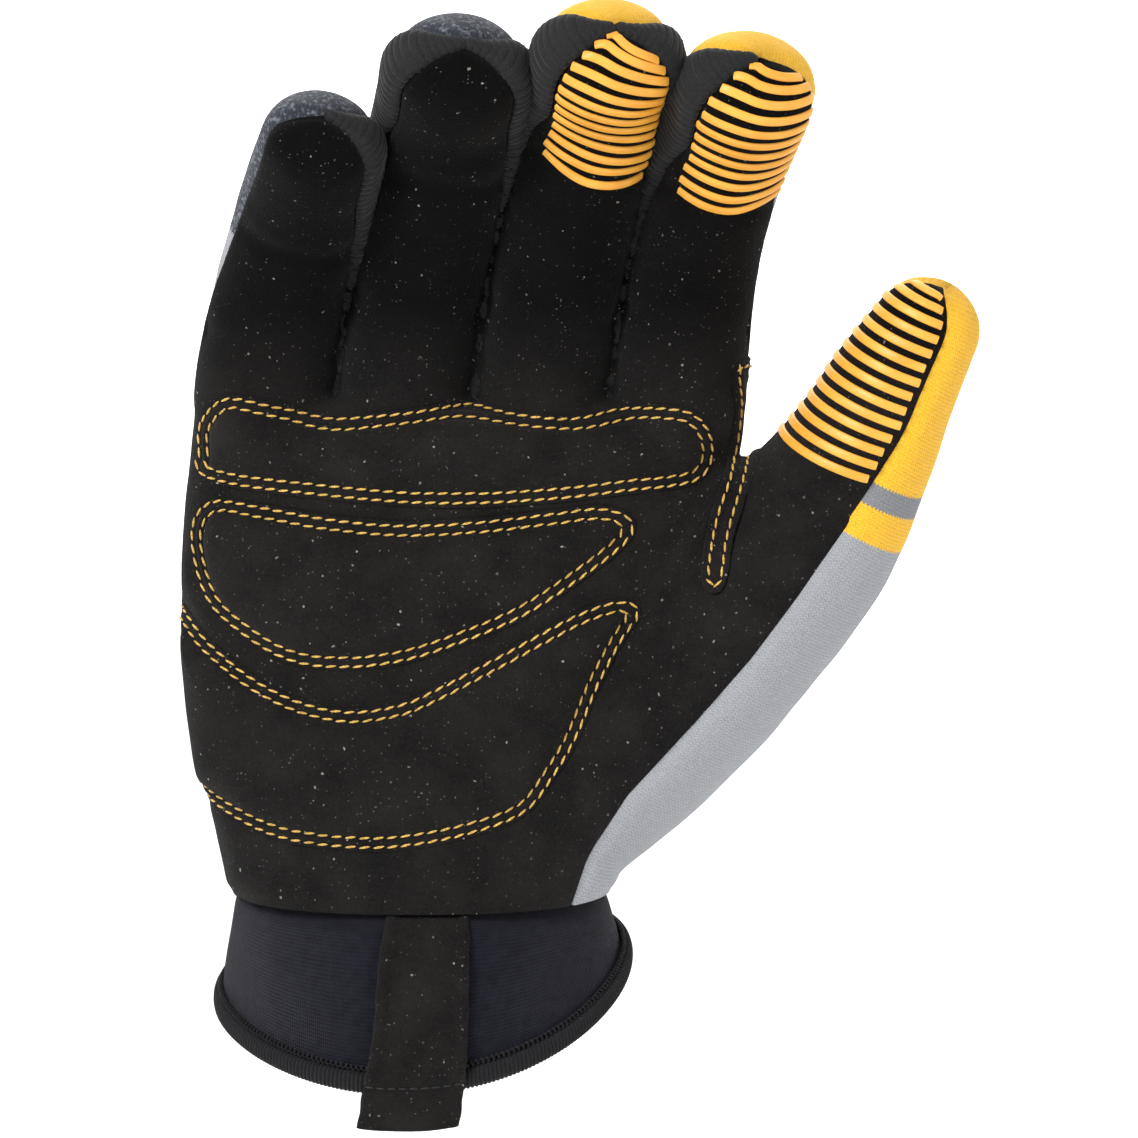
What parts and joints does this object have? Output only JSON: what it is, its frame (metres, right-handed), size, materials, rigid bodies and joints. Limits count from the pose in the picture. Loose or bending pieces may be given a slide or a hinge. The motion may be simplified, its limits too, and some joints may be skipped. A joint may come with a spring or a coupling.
{
  "type": "work glove",
  "caption": "Right-hand work glove in its worn shape, with suede palm, padded patches, knit back, grip bars on three fingertips, stretch cuff and pull tab.",
  "frame": {"origin": "middle of the cuff's mouth, where the hand goes in", "axes": "+Z from the cuff to the fingertips, +X towards the thumb, -Y out of the palm; the fingers point up and curl forward to -Y"},
  "size_m": [0.1438, 0.0747, 0.1993],
  "materials": {
    "suede": "napped, matt, lightly flecked",
    "knit": "fine knit, grey with yellow and navy fingertips",
    "rib_knit": "ribbed, matt",
    "silicone": "satin",
    "cuff_knit": "dense stretch knit, matt",
    "elastic": "ribbed elastic tape"
  },
  "bodies": {
    "root": {"palm_panel": "suede", "back_panel": "knit", "thumb_back_panel": "knit", "fourchette_little_ring": "rib_knit", "fourchette_ring_middle": "rib_knit", "fourchette_middle_index": "rib_knit", "upper_palm_pad": "suede", "middle_palm_pad": "suede", "heel_palm_pad": "suede", "thumb_web_patch": "suede", "thumb_grip": "silicone", "index_grip": "silicone", "middle_grip": "silicone", "cuff": "cuff_knit", "cuff_binding": "elastic", "pull_tab": "suede"}
  },
  "joints": []
}
